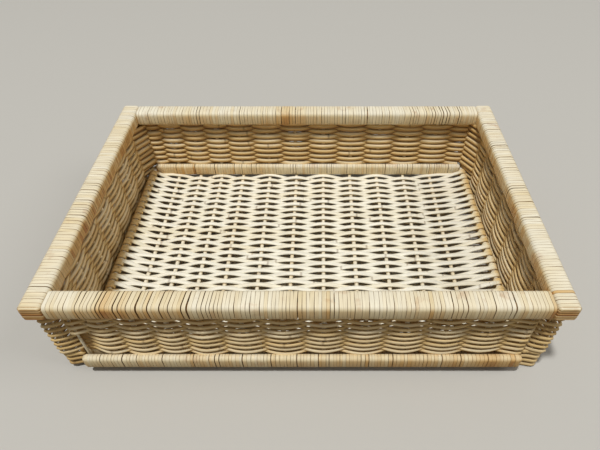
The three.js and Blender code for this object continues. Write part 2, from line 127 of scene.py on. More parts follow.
class BasketColours(bpy.types.PropertyGroup):
    """Colours of the cane and the peel"""

    peel_pale: colour("Pale peel", "Bleached turns of peel", 249, 240, 215)
    peel_cream: colour("Cream peel", "Most turns of peel", 240, 221, 178)
    peel_golden: colour("Golden peel", "Riper turns of peel", 222, 178, 112)
    peel_russet: colour("Russet peel", "Stained turns of peel and blemishes", 182, 122, 64)
    floor_pale: colour("Pale floor cane", "Lightest floor weavers", 255, 250, 231)
    floor_warm: colour("Warm floor cane", "Darkest floor weavers", 247, 235, 200)
    # The wall cane is kept darker and warmer than the floor cane, as painted shade of the walls on the same
    # cane.
    wall_bleached_and_lit: colour("Bleached wall cane", "Wall weavers where they face out", 251, 232, 192)
    wall_pale: colour("Pale wall cane", "Lightest wall weavers", 232, 199, 136)
    wall_warm: colour("Warm wall cane", "Darkest wall weavers", 180, 137, 76)
    # Painted shade: the colour of the wall canes' undersides and hollows; the bleached colour above is
    # partly painted light on their tops.
    wall_painted_shade: colour("Deep wall cane", "Undersides of the wall weavers", 112, 78, 40)
    stake_pale: colour("Pale stake cane", "Lightest stakes and rods", 250, 240, 214)
    stake_warm: colour("Warm stake cane", "Darkest stakes and rods", 232, 208, 160)
    # The split rails are coloured darker than the peel as painted shade, so the slits between turns read as
    # shade; the dark rail colour also gives the painted shade in the peel's seams and the cane's dark
    # joints.
    rail_light: colour("Light rail", "Early wood of the split rails", 176, 136, 84)
    rail_dark_and_shade: colour("Dark rail", "Late wood of the split rails", 112, 76, 40)
    ground: colour("Ground", "The floor that the basket stands on", 198, 195, 187)
    ground_bounce: colour("Ground bounce", "What the ground gives back to the basket", 124, 117, 100)


def sizes():
    return bpy.context.scene.basket_sizes


def colours():
    return bpy.context.scene.basket_colours


# Node trees

CANE_TREE = "Cane along a route"
PEEL_TREE = "Peel turns on a rail"


class Net:
    """Adds nodes to one tree and links them by socket name or number."""

    def __init__(self, tree):
        self.tree = tree

    def add(self, kind, inputs=None, **settings):
        node = self.tree.nodes.new(kind)
        for key, value in settings.items():
            setattr(node, key, value)
        self.fill(node, inputs or {})
        return node

    def fill(self, node, inputs):
        for key, value in inputs.items():
            self.feed(node.inputs[key], value)

    def feed(self, socket, value):
        """Links another node's output to a socket, or sets the socket to a plain value."""
        if isinstance(value, bpy.types.NodeSocket):
            self.tree.links.new(value, socket)
        else:
            socket.default_value = value

    def geo(self, kind, source=None, inputs=None, **settings):
        """The first output of a new geometry node, whose first input a source feeds."""
        fed = dict(inputs or {})
        if source is not None:
            fed[0] = source
        return self.add("GeometryNode" + kind, fed, **settings).outputs[0]

    def shade(self, kind, output, inputs=None, **settings):
        """An output of a new shader node."""
        return self.add("ShaderNode" + kind, inputs, **settings).outputs[output]

    def math(self, operation, *values):
        return self.shade("Math", 0, dict(enumerate(values)), operation=operation)

    def plus(self, one, other):
        return self.math("ADD", one, other)

    def times(self, one, other, more=0.0):
        """One value times another, and more added to it."""
        return self.math("MULTIPLY_ADD", one, other, more)

    def vector(self, x=0.0, y=0.0, z=0.0):
        return self.shade("CombineXYZ", 0, {"X": x, "Y": y, "Z": z})

    def parts(self, vector):
        return self.add("ShaderNodeSeparateXYZ", {"Vector": vector}).outputs


def geometry_tree(name, inputs):
    """An empty tree with a geometry going in and out, and named inputs for its sizes."""
    tree = bpy.data.node_groups.new(name, "GeometryNodeTree")
    tree.interface.new_socket("Geometry", in_out="INPUT", socket_type="NodeSocketGeometry")
    for label, kind in inputs.items():
        tree.interface.new_socket(label, in_out="INPUT", socket_type="NodeSocket" + kind)
    tree.interface.new_socket("Geometry", in_out="OUTPUT", socket_type="NodeSocketGeometry")
    net = Net(tree)
    return tree, net, net.add("NodeGroupInput").outputs


def mark(net, geometry, label, value, kind="FLOAT"):
    """Stores a value on the points of a geometry for its finish to read."""
    inputs = {"Name": label, "Value": value}
    return net.geo("StoreNamedAttribute", geometry, inputs, data_type=kind, domain="POINT")


def mark_travel(net, curve):
    """Stores how far along its curve each point lies."""
    return mark(net, curve, "along", net.add("GeometryNodeSplineParameter").outputs["Length"])


def read_mark(net, label):
    node = net.add("GeometryNodeInputNamedAttribute", {"Name": label}, data_type="FLOAT")
    return node.outputs["Attribute"]


def close_tree(net, geometry, material):
    """Every tree ends in real faces, smooth shading and a finish."""
    smooth = net.geo("SetShadeSmooth", net.geo("RealizeInstances", geometry))
    net.add("NodeGroupOutput", {"Geometry": net.geo("SetMaterial", smooth, {"Material": material})})


def cane_tree():
    """A cane of oval section swept along the piece's own route."""
    tree, net, given = geometry_tree(CANE_TREE, {
        "Width": "Float", "Thickness": "Float", "Sides": "Int", "Smoothness": "Int", "Wide Way": "Vector",
        "Finish": "Material",
    })
    route = net.geo("MeshToCurve", given["Geometry"])
    route = net.geo("CurveSplineType", route, spline_type="CATMULL_ROM")
    route = net.geo("SetSplineResolution", route, {"Resolution": given["Smoothness"]})
    route = net.geo("SetCurveNormal", route, {"Normal": given["Wide Way"]}, mode="FREE")
    route = mark_travel(net, route)
    circle = net.geo("CurvePrimitiveCircle", inputs={"Resolution": given["Sides"], "Radius": 1.0})
    section = mark(net, circle, "ring", net.geo("InputPosition"), "FLOAT_VECTOR")
    half_sizes = net.vector(net.times(given["Width"], 0.5), net.times(given["Thickness"], 0.5), 1.0)
    oval = net.geo("Transform", section, {"Scale": half_sizes})
    girth = read_mark(net, "girth")
    swept = net.geo("CurveToMesh", route, {"Profile Curve": oval, "Scale": girth, "Fill Caps": True})
    close_tree(net, swept, given["Finish"])
    return tree


def peel_tree():
    """Turns of peel round a rail that lies along X, leaned, then turned and moved to the rail's place."""
    corner_steps, top_share, crisp_angle = 3, 0.92, 0.7
    tree, net, given = geometry_tree(PEEL_TREE, {
        "Rail Width": "Float", "Rail Height": "Float", "Corner": "Float", "Turn Width": "Float",
        "Thickness": "Float", "Rail Turn": "Float", "Rail Middle": "Vector", "Finish": "Material",
    })
    half_thickness = net.times(given["Thickness"], 0.5)
    half_turn = net.times(given["Turn Width"], 0.5)
    loop = net.geo("CurvePrimitiveQuadrilateral", inputs={
        "Width": net.math("SUBTRACT", given["Rail Width"], given["Thickness"]),
        "Height": net.math("SUBTRACT", given["Rail Height"], given["Thickness"]),
    }, mode="RECTANGLE")
    radius = net.math("SUBTRACT", given["Corner"], half_thickness)
    loop = net.geo("FilletCurve", loop, {"Count": corner_steps, "Radius": radius}, mode="POLY")
    loop = net.geo("SetCurveNormal", loop, {"Normal": UP}, mode="FREE")
    loop = mark_travel(net, loop)
    section = net.geo("CurvePrimitiveQuadrilateral", inputs={
        "Offset": 0.0, "Height": given["Thickness"], "Bottom Width": given["Turn Width"],
        "Top Width": net.times(given["Turn Width"], top_share),
    }, mode="TRAPEZOID")
    place = net.parts(net.geo("InputPosition"))
    strip = mark(net, section, "across", net.math("DIVIDE", place["X"], half_turn))
    turn = net.geo("CurveToMesh", loop, {"Profile Curve": strip})
    angle = net.add("GeometryNodeInputMeshEdgeAngle").outputs["Unsigned Angle"]
    sharp = net.math("GREATER_THAN", angle, crisp_angle)
    turn = net.geo("SetShadeSmooth", turn, {"Selection": sharp, "Shade Smooth": False}, domain="EDGE")
    turn = net.geo("Transform", turn, {"Rotation": (math.pi / 2, 0.0, math.pi / 2)})
    proud = net.plus(read_mark(net, "lift"), 1.0)
    scale = net.vector(read_mark(net, "girth"), proud, proud)
    turns = net.geo("InstanceOnPoints", given["Geometry"], {"Instance": turn, "Scale": scale})
    turns = net.geo("RealizeInstances", turns)
    spot = net.parts(net.geo("InputPosition"))
    lean_down = net.times(read_mark(net, "lean_face"), spot["Z"])
    lean = net.times(read_mark(net, "lean_top"), spot["Y"], lean_down)
    turns = net.geo("SetPosition", turns, {"Offset": net.vector(lean)})
    way = net.vector(0.0, 0.0, given["Rail Turn"])
    turns = net.geo("Transform", turns, {"Rotation": way, "Translation": given["Rail Middle"]})
    close_tree(net, turns, given["Finish"])
    return tree


TREE_MAKERS = {CANE_TREE: cane_tree, PEEL_TREE: peel_tree}


def linked(name, data):
    """A new object in the scene."""
    item = bpy.data.objects.new(name, data)
    bpy.context.scene.collection.objects.link(item)
    return item


def set_marks(mesh, marks):
    for label, values in marks.items():
        mesh.attributes.new(label, "FLOAT", "POINT").data.foreach_set("value", values)


def grown(name, places, edges, marks, tree_name, inputs):
    """A plain mesh object that a node tree grows from bare points and routes."""
    seed = bpy.data.meshes.new(name + "_seed")
    seed.from_pydata(places, edges, [])
    set_marks(seed, marks)
    piece = linked(name, seed)
    tree = bpy.data.node_groups.get(tree_name) or TREE_MAKERS[tree_name]()
    modifier = piece.modifiers.new("Cane work", "NODES")
    modifier.node_group = tree
    for item in tree.interface.items_tree:
        if item.in_out == "INPUT" and item.name in inputs:
            modifier[item.identifier] = inputs[item.name]
    depsgraph = bpy.context.evaluated_depsgraph_get()
    mesh = bpy.data.meshes.new_from_object(piece.evaluated_get(depsgraph), depsgraph=depsgraph)
    piece.modifiers.remove(modifier)
    piece.data = mesh
    mesh.name = name
    mesh.materials.clear()
    mesh.materials.append(inputs["Finish"])
    mesh.polygons.foreach_set("material_index", [0] * len(mesh.polygons))
    bpy.data.meshes.remove(seed)
    if not mesh.polygons:
        raise RuntimeError(name + " grew no faces")
    return piece


def settle(piece, slot, *nodes):
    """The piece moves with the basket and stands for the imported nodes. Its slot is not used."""
    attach(piece, BODY)
    if nodes:
        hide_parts(*nodes)


# Finishes

NOISE_BAND = (0.3, 0.7)
SATIN_SHEEN = 0.25
FIBRE_STRENGTH = 0.35
CANE_ROUGHNESS = (0.42, 0.66)
RAIL_ROUGHNESS = (0.5, 0.75)
PEEL_RELIEF = 0.0002
CANE_RELIEF = 0.00015
FINE_DETAIL, FINEST_DETAIL = 3.0, 4.0


def new_finish(name):
    material = bpy.data.materials.new(name)
    material.use_nodes = True
    net = Net(material.node_tree)
    shader = material.node_tree.nodes["Principled BSDF"]
    return material, net, shader


def attribute(net, label, output="Fac"):
    return net.shade("Attribute", output, attribute_name=label)


def upward(net):
    """How far a face looks up: 1 if it lies level, 0 if it stands upright, -1 for an underside."""
    return net.parts(net.shade("NewGeometry", "Normal"))["Z"]


def ramp(net, value, stops):
    """A value's colour, from the user's colours at their stops."""
    node = net.add("ShaderNodeValToRGB", {"Fac": value})
    band = node.color_ramp
    while len(band.elements) < len(stops):
        band.elements.new(0.5)
    for element, (place, key) in zip(band.elements, stops):
        element.position = place
        element.color = (*getattr(colours(), key), 1.0)
    return node.outputs["Color"]


def spread(net, value, low, high, to_low, to_high):
    return net.shade("MapRange", "Result", {
        "Value": value, "From Min": low, "From Max": high, "To Min": to_low, "To Max": to_high,
    })


def noise(net, vector, scale=1.0, detail=2.0):
    return net.shade("TexNoise", "Fac", {"Vector": vector, "Scale": scale, "Detail": detail})


def noise_spread(net, value, to_low, to_high):
    """The band that most of a noise lies in, drawn out between two values."""
    return spread(net, value, *NOISE_BAND, to_low, to_high)


def blended(net, share, below, above, way="MIX"):
    node = net.add("ShaderNodeMix", {"Factor": share}, data_type="RGBA", blend_type=way)
    for key, shade in (("A", below), ("B", above)):
        socket = next(s for s in node.inputs if s.name == key and s.type == "RGBA")
        net.feed(socket, shade if isinstance(shade, bpy.types.NodeSocket) else (*shade, 1.0))
    return next(s for s in node.outputs if s.type == "RGBA")


def streaked(net, base, fibre, dark, light):
    """A colour that is darker and lighter along its fibres."""
    streak = noise_spread(net, fibre, dark, light)
    grey = net.shade("CombineColor", 0, dict.fromkeys(("Red", "Green", "Blue"), streak))
    return blended(net, 1.0, base, grey, "MULTIPLY")


def finish_surface(net, shader, base, grain, roughness, depth):
    """Colour, satin gloss that follows the fibres, and their relief."""
    smooth, rough = roughness
    relief = net.shade("Bump", 0, {"Height": grain, "Strength": FIBRE_STRENGTH, "Distance": depth})
    gloss = noise_spread(net, grain, rough, smooth)
    net.fill(shader, {
        "Base Color": base, "Specular IOR Level": SATIN_SHEEN, "Roughness": gloss, "Normal": relief,
    })


PEEL_SHADES = ((0.0, "peel_pale"), (0.42, "peel_cream"), (0.8, "peel_golden"), (1.0, "peel_russet"))


def peel_finish(name, face_shade_tint, face_seam_shade, ripeness=0.0):
    """Peel in turns: a tint for each turn, golden painted shade on upright faces, fibres, stains in places,
    and dark seams that are partly the rail between turns and partly painted shade.
    """
    patch_scale, patch_swing = 14.0, 0.2
    fibres_across, fibres_along = 3.2, 70.0
    lane_shift, run_shift = 61.0, 113.0
    stain_scale, stain_start, stain_full, stain_depth = 70.0, 0.6, 0.8, 0.55
    edge_start, edge_shade_depth = 0.8, 0.8
    lit_band, upright_band, streak = (0.05, 0.8), (0.0, 0.5), (0.84, 1.08)
    shades = colours()
    material, net, shader = new_finish(name)
    tint = attribute(net, "tint")
    across = attribute(net, "across")
    spot = net.shade("TexCoord", "Object")
    facing = upward(net)
    patch = noise(net, spot, patch_scale)
    patch = noise_spread(net, patch, ripeness - patch_swing, ripeness + patch_swing)
    # Painted shade: upright faces are tinted golden, as the rims' faces look in shade, while level tops
    # stay pale.
    shaded = spread(net, facing, *lit_band, face_shade_tint, 0.0)
    base = ramp(net, net.plus(net.plus(tint, patch), shaded), PEEL_SHADES)
    lane = net.times(across, fibres_across, net.times(tint, lane_shift))
    shifted = net.times(tint, run_shift)
    run = net.times(attribute(net, "along"), fibres_along, shifted)
    fibre = noise(net, net.vector(lane, run, tint), detail=FINE_DETAIL)
    base = streaked(net, base, fibre, *streak)
    blemish = noise(net, spot, stain_scale, FINEST_DETAIL)
    stain = spread(net, blemish, stain_start, stain_full, 0.0, stain_depth)
    base = blended(net, stain, base, shades.peel_russet)
    # Painted shade in the seams: each turn darkens toward its edges, fully where a seam is loose and more
    # on upright faces; partly this is the darker rail between turns.
    edge_shade = spread(net, net.math("ABSOLUTE", across), edge_start, 1.0, 0.0, edge_shade_depth)
    upright_seam_shade = spread(net, facing, *upright_band, face_seam_shade, 0.0)
    seam_shade = net.times(edge_shade, net.plus(attribute(net, "seam_shade"), upright_seam_shade))
    base = blended(net, seam_shade, base, shades.rail_dark_and_shade)
    finish_surface(net, shader, base, fibre, CANE_ROUGHNESS, PEEL_RELIEF)
    return material


# Each cane's four colours run from its lit tops (painted light) to its undersides and hollows (painted
# shade).
CANE_SHADES = {
    "stake_cane": ("stake_pale", "stake_pale", "stake_warm", "wall_warm"),
    "wall_cane": ("wall_bleached_and_lit", "wall_pale", "wall_warm", "wall_painted_shade"),
    "floor_cane": ("floor_pale", "floor_pale", "floor_warm", "wall_pale"),
}
SHADE_STOPS = (0.05, 0.4, 0.75, 1.0)


def cane_finish(slot):
    """Peeled round cane: tinted lengths, mottling, tops and outer sides paler as painted light with some
    real fading outside, painted shade on undersides and in hollows, fibres and growth rings.
    """
    name = slot + "_finish"
    known = bpy.data.materials.get(name)
    if known:
        return known
    fibres_round, fibres_along, lane_shift = 2.4, 60.0, 47.0
    mottles_along, mottle_swing = 14.0, 0.2
    tone_share, tone_start, outer_share, streak = 0.35, 0.25, 0.25, (0.82, 1.1)
    lit_side_band, light_and_fade_range, recess_band, recess_shade_range = (-0.7, 0.3), (-0.5, 0.12), (-0.8, 0.6), (0.42, -0.1)
    rings_along, ring_shift, ring_width, ring_depth = 6.3, 5.0, 0.012, 0.5
    material, net, shader = new_finish(name)
    tint = attribute(net, "tint")
    along = attribute(net, "along")
    ring = net.parts(attribute(net, "ring", "Vector"))
    drift = net.times(tint, lane_shift)
    lane = net.times(ring["X"], fibres_round, drift)
    height = net.times(ring["Y"], fibres_round)
    run = net.times(along, fibres_along)
    fibre = noise(net, net.vector(lane, height, run), detail=FINE_DETAIL)
    mottle = noise(net, net.vector(drift, 0.0, net.times(along, mottles_along)))
    warmth = net.plus(tint, noise_spread(net, mottle, -mottle_swing, mottle_swing))
    # Painted light and shade: faces that look up are paler and undersides darker, by the normal's Z; the
    # outer side is paler too, partly real fading and partly painted light.
    outside = net.times(ring["Y"], attribute(net, "outward"))
    lit_and_weathered_side = net.times(outside, outer_share, upward(net))
    painted_light_and_fading = spread(net, lit_and_weathered_side, *lit_side_band, *light_and_fade_range)
    toned = net.math("SUBTRACT", net.times(warmth, tone_share, tone_start), painted_light_and_fading)
    # Painted shade in the hollows: the faces of a cane that turn into the wall, toward the stakes behind
    # it, are darker, and the faces that turn out of it are a little lighter.
    recess_shade = net.times(outside, attribute(net, "swing"))
    toned = net.plus(toned, spread(net, recess_shade, *recess_band, *recess_shade_range))
    # Darker near the floor's rods: age, and painted shadow at the left rod.
    toned = net.plus(toned, attribute(net, "age_and_shadow"))
    stops = tuple(zip(SHADE_STOPS, CANE_SHADES[slot]))
    base = streaked(net, ramp(net, toned, stops), fibre, *streak)
    paced = net.times(along, rings_along, net.times(tint, ring_shift))
    joint = spread(net, net.math("PINGPONG", paced, 0.5), 0.0, ring_width, ring_depth, 0.0)
    base = blended(net, joint, base, colours().rail_dark_and_shade)
    finish_surface(net, shader, base, fibre, CANE_ROUGHNESS, CANE_RELIEF)
    return material


def rail_finish(name, grain_scale):
    """Split cane with grain along the rail."""
    material, net, shader = new_finish(name)
    spot = net.shade("TexCoord", "Object")
    drawn = net.shade("Mapping", 0, {"Vector": spot, "Scale": grain_scale})
    grain = noise(net, drawn, detail=FINEST_DETAIL)
    base = ramp(net, grain, tuple(zip(NOISE_BAND, ("rail_dark_and_shade", "rail_light"))))
    finish_surface(net, shader, base, grain, RAIL_ROUGHNESS, PEEL_RELIEF)
    return material


# Routes

STEPS_PER_BAY = 4
FRONT_BITE, WALL_BITE = 0.15, 0.4
FULL_SWING, STEADY_REACH = 0.55, 3
GIRTH_STRAY, GIRTH_PULL = 0.02, 0.1
STAKE_POINTS, STAKE_SIDES = 9, 10


def side_places(side):
    """A side's uprights and the corner post at each end, in the way that the wall canes go round."""
    nodes = ["corner_post_front_" + side, *named("side_stake_" + side), "corner_post_back_" + side]
    return [middle(n).xy for n in (nodes if side == "right" else reversed(nodes))]


def corner_posts():
    return [middle(n).xy for n in named("corner_post")]


def upright_places():
    """Every upright's place: along the front, up the right side, back along the back, down the left."""
    front = middle("corner_stake_front_left")
    right = middle("corner_stake_front_right")
    across = [front.x, *(middle(n).x for n in named("floor_stake")), right.x]
    places = [Vector((x, front.y)) for x in across]
    places += side_places("right")
    places += [Vector((x, -front.y)) for x in reversed(across)]
    return places + side_places("left")


def outward_ways(feet, before, after):
    """The way out of the wall at each foot, between its neighbours."""
    row = [before, *feet, after]
    ways = []
    for previous, here, following in zip(row, row[1:], row[2:]):
        run = ((here - previous).normalized() + (following - here).normalized()).normalized()
        ways.append(Vector((run.y, -run.x)))
    return ways


def woven(stops):
    """Points of a cane that swings from stop to stop. A stop is a foot, a way off it and how far."""
    points = []
    for (foot, way, reach), (next_foot, next_way, next_reach) in zip(stops, stops[1:]):
        for step in range(STEPS_PER_BAY):
            share = step / STEPS_PER_BAY
            swing = (1 - math.cos(math.pi * share)) / 2
            off = reach + (next_reach - reach) * swing
            points.append(foot.lerp(next_foot, share) + way.lerp(next_way, share).normalized() * off)
    foot, way, reach = stops[-1]
    points.append(foot + way * reach)
    return points


def wall_reach(place, z, outside, rng):
    """How far a wall cane swings from an upright, inwards below zero. It bites into the stakes."""
    measures = sizes()
    if place in corner_posts():
        return measures.corner_bow
    bite = FRONT_BITE if place.y < middle("side_stake_left_01").y else WALL_BITE
    reach = (1 - bite) * (measures.stake_diameter + measures.wall_weaver_thickness) / 2
    reach += rng.gauss(0, measures.wobble / STEADY_REACH)
    loose_stake = middle("corner_stake_front_left")
    is_loose_corner = (place - loose_stake.xy).length < measures.stake_diameter and z < loose_stake.z
    return reach if outside and not is_loose_corner else -reach


def wall_stops(feet, heights, phase, ends, rng):
    """A wall cane's stops, outside every second upright, or past a corner post in a straight run."""
    posts = corner_posts()
    passes = []
    for number, (foot, height) in enumerate(zip(feet, heights)):
        outside = (number + phase) % 2 == 0
        if outside or foot not in posts:
            passes.append((foot, height, outside))
    ways = outward_ways([foot for foot, _, _ in passes], *ends)
    stops = []
    for (foot, height, outside), way in zip(passes, ways):
        z = height + rng.gauss(0, sizes().wobble)
        reach = wall_reach(foot, z, outside, rng)
        stops.append((foot.to_3d() + Vector((0, 0, z)), way.to_3d(), reach))
    return stops


def wall_swing(point):
    """How far a wall cane stands out of its wall, from 1 outside to -1 inside, and 0 round the corners."""
    corner = middle("corner_stake_back_right")
    side = middle(named("side_stake_right")[-1])
    off = 0.0
    if abs(point.x) < corner.x:
        off = abs(point.y) - corner.y
    elif abs(point.y) < side.y:
        off = abs(point.x) - side.x
    return clamp(off / (FULL_SWING * sizes().stake_diameter), -1.0, 1.0)


def eased(points):
    """Rounds the kinks where a route goes round a corner."""
    inner = [(a + 2 * b + c) / 4 for a, b, c in zip(points, points[1:], points[2:])]
    return [points[0], *inner, points[-1]]


def cane_marks(count, rng, tint_high, run=100):
    """Tint and girth along a cane that is pieced from lengths of up to a run of points."""
    tints, girths = [], []
    tint, girth = rng.uniform(0.0, tint_high), 1.0
    left = rng.randint(run // 2, run)
    for _ in range(count):
        if left == 0:
            tint = rng.uniform(0.0, tint_high)
            left = rng.randint(run // 2, run)
        left -= 1
        girth += rng.uniform(-GIRTH_STRAY, GIRTH_STRAY) + (1.0 - girth) * GIRTH_PULL
        tints.append(tint)
        girths.append(girth)
    return {"tint": tints, "girth": girths}


def cane(node, points, marks, slot, width, thickness, wide_way, sides=8, smoothness=2):
    """A cane swept along its route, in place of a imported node."""
    edges = [(i, i + 1) for i in range(len(points) - 1)]
    piece = grown(node + "_cane", [tuple(p) for p in points], edges, marks, CANE_TREE, {
        "Width": width, "Thickness": thickness, "Sides": sides, "Smoothness": smoothness,
        "Wide Way": wide_way, "Finish": cane_finish(slot),
    })
    settle(piece, slot, node)


def wall_cane(node, points, marks, outward):
    """A cane woven into the walls, with its outer side and its swing marked."""
    measures = sizes()
    marks["outward"] = outward
    # Its outer side and its swing drive the painted light and the painted shade of its finish.
    marks["swing"] = [wall_swing(p) for p in points]
    cane(node, points, marks, "wall_cane", measures.wall_weaver_width, measures.wall_weaver_thickness, UP)


def straight_cane(node, axis, diameter, rng, tint=1.0):
    """A straight cane along an axis, which strays a little between its ends."""
    half = extent(node) * Vector(axis) / 2
    start, end = middle(node) - half, middle(node) + half
    points = []
    for i in range(STAKE_POINTS):
        stray = sizes().wobble if 0 < i < STAKE_POINTS - 1 else 0.0
        drift = Vector((rng.uniform(-stray, stray), rng.uniform(-stray, stray), 0))
        points.append(start.lerp(end, i / (STAKE_POINTS - 1)) + drift)
    marks = cane_marks(STAKE_POINTS, rng, tint)
    cane(node, points, marks, "stake_cane", diameter, diameter, ACROSS, STAKE_SIDES)


def bent_stake(node, rng):
    """A stake that goes down one wall, under the floor and up the other."""
    bend_steps, tint = 6, 0.8
    diameter, bend = sizes().stake_diameter, sizes().stake_bend
    low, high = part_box(node)
    x = middle(node).x
    wall = middle("corner_stake_front_left").y
    under = low.z + diameter / 2
    half = [Vector((x, wall, high.z)), Vector((x, wall, (high.z + under) / 2))]
    for step in range(bend_steps + 1):
        angle = math.pi / 2 * step / bend_steps
        y, z = wall + bend * (1 - math.cos(angle)), under + bend * (1 - math.sin(angle))
        half.append(Vector((x, y, z)))
    half.append(Vector((x, wall / 2, under)))
    back = [Vector((p.x, -p.y, p.z)) for p in reversed(half)]
    points = half + [Vector((x, 0, under))] + back
    marks = cane_marks(len(points), rng, tint)
    cane(node, points, marks, "stake_cane", diameter, diameter, ACROSS, STAKE_SIDES, 1)


class BASKET_OT_stakes(bpy.types.Operator):
    """Make the bent floor stakes, the corner stakes and posts, and the side stakes"""

    bl_idname = "basket.stakes"
    bl_label = "Stakes"

    def execute(self, context):
        corner_lit_tint = 0.2
        rng = random.Random(11)
        for node in named("floor_stake"):
            bent_stake(node, rng)
        for node in named("corner") + named("side_stake"):
            if node in named("corner_stake"):
                # Corner stakes keep to the palest tints as painted light, so they read as thin lit lines.
                straight_cane(node, UP, sizes().corner_stake_diameter, rng, corner_lit_tint)
            else:
                straight_cane(node, UP, sizes().stake_diameter, rng)
        return {"FINISHED"}


class BASKET_OT_rods(bpy.types.Operator):
    """Make the two side rods that the floor weavers turn round"""

    bl_idname = "basket.rods"
    bl_label = "Side Rods"

    def execute(self, context):
        rng = random.Random(12)
        for side in SIDES:
            node = "side_rod_" + side
            straight_cane(node, BACK, extent(node).z, rng)
        return {"FINISHED"}


def climb(share, foot):
    """How far up the wall a cane is: rows are looser under the front rim and denser under the others."""
    front_part, other_part, power = 0.05, -0.04, 8
    loose_part = front_part if foot.y < middle("rim_front_inner_rail").y else other_part
    return (1 - loose_part) * share + loose_part * share ** power


def fill_out(points, marks):
    """The cane is slimmer along the front and the sides, and fuller round the back and its corners."""
    front_girth, back_girth, side_girth = 0.78, 1.34, 0.97
    front_line = middle("rim_front_inner_rail").y
    back_line = middle(named("side_stake_left")[-1]).y - sizes().stake_diameter
    for number, point in enumerate(points):
        girth = side_girth
        if point.y < front_line:
            girth = front_girth
        elif point.y > back_line:
            girth = back_girth
        marks["girth"][number] *= girth


def weave_wall(node, start, phase, rng):
    """Winds a cane up the walls, over every second upright."""
    first_drop, last_drop, tint, run = 0.7, 0.4, 1.0, 260
    measures = sizes()
    places = upright_places()
    low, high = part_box(node)
    half = measures.wall_weaver_width / 2
    first, last = low.z - first_drop * half, high.z - last_drop * half
    rows = round((last - first) / measures.wall_row_pitch)
    passed = rows * len(places) // 2
    feet = [places[(start + n) % len(places)] for n in range(passed + 1)]
    heights = [first + (last - first) * climb(n / passed, foot) for n, foot in enumerate(feet)]
    ends = places[start - 1], places[(start + passed + 1) % len(places)]
    points = woven(wall_stops(feet, heights, phase, ends, rng))
    marks = cane_marks(len(points), rng, tint, run)
    fill_out(points, marks)
    wall_cane(node, points, marks, [1.0] * len(points))


class BASKET_OT_wall_weave(bpy.types.Operator):
    """Weave the two canes that chase each other up the walls"""

    bl_idname = "basket.wall_weave"
    bl_label = "Wall Weave"

    def execute(self, context):
        half_lap = len(upright_places()) // 2
        weave_wall("wall_weaver_01", 0, 0, random.Random(21))
        weave_wall("wall_weaver_02", half_lap, 1, random.Random(22))
        return {"FINISHED"}


def weave_side(side, phase, rng):
    """Takes a cane to and fro over a side's uprights."""
    last_drop, turn_room, tint, run = 0.7, 0.6, 1.0, 200
    measures = sizes()
    node = "side_weaver_" + side
    low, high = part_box(node)
    half = measures.wall_weaver_width / 2
    first, last = low.z + half, high.z - last_drop * half
    rows = round((last - first) / measures.wall_row_pitch) + 1
    feet = side_places(side)
    turn_y = middle("corner_stake_front_left").y
    turn_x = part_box("base_front_outer_rail")[1].x + turn_room * measures.wall_weaver_thickness
    ends = [Vector((math.copysign(turn_x, p.x), math.copysign(turn_y, p.y))) for p in (feet[0], feet[-1])]
    points, outward = [], []
    for row in range(rows):
        z = first + (last - first) * row / (rows - 1)
        stops = wall_stops(feet, [z] * len(feet), phase + rows - 1 - row, ends, rng)
        start, finish = (end.to_3d() + Vector((0, 0, z)) for end in ends)
        route = woven([(start, stops[0][1], 0.0), *stops, (finish, stops[-1][1], 0.0)])
        onward = row % 2 == 0
        points += route if onward else route[::-1]
        outward += [1.0 if onward else -1.0] * len(route)
    points = eased(points)
    wall_cane(node, points, cane_marks(len(points), rng, tint, run), outward)


class BASKET_OT_side_weave(bpy.types.Operator):
    """Weave the lower rows that only the two side walls have"""

    bl_idname = "basket.side_weave"
    bl_label = "Lower Side Weave"

    def execute(self, context):
        for side, phase, seed in (("right", 0, 31), ("left", 1, 32)):
            weave_side(side, phase, random.Random(seed))
        return {"FINISHED"}


def age_and_shadow(point, rod_x, rod_reach):
    """How much older the cane looks close to a rod, with painted shadow of the left wall added at the left
    rod.
    """
    left_age_and_shadow, right_age, old_reach = 0.9, 0.5, 2.5 * rod_reach
    # The left end is darker than the right: painted shadow cast by the left wall.
    full = left_age_and_shadow if point.x < 0 else right_age
    return full * max(0.0, 1 - (rod_x - abs(point.x)) / old_reach)


def rod_turn(rod, start, pitch, reach):
    """One and a half turns round a rod from one row to the next."""
    steps = 12
    hand = 1 if rod.x > 0 else -1
    top = 1 if start.z > rod.z else -1
    turn = []
    for step in range(1, steps):
        angle = 3 * math.pi * step / steps
        turn.append(Vector((
            rod.x + hand * reach * math.sin(angle),
            start.y + pitch * step / steps,
            rod.z + top * reach * math.cos(angle),
        )))
    return turn


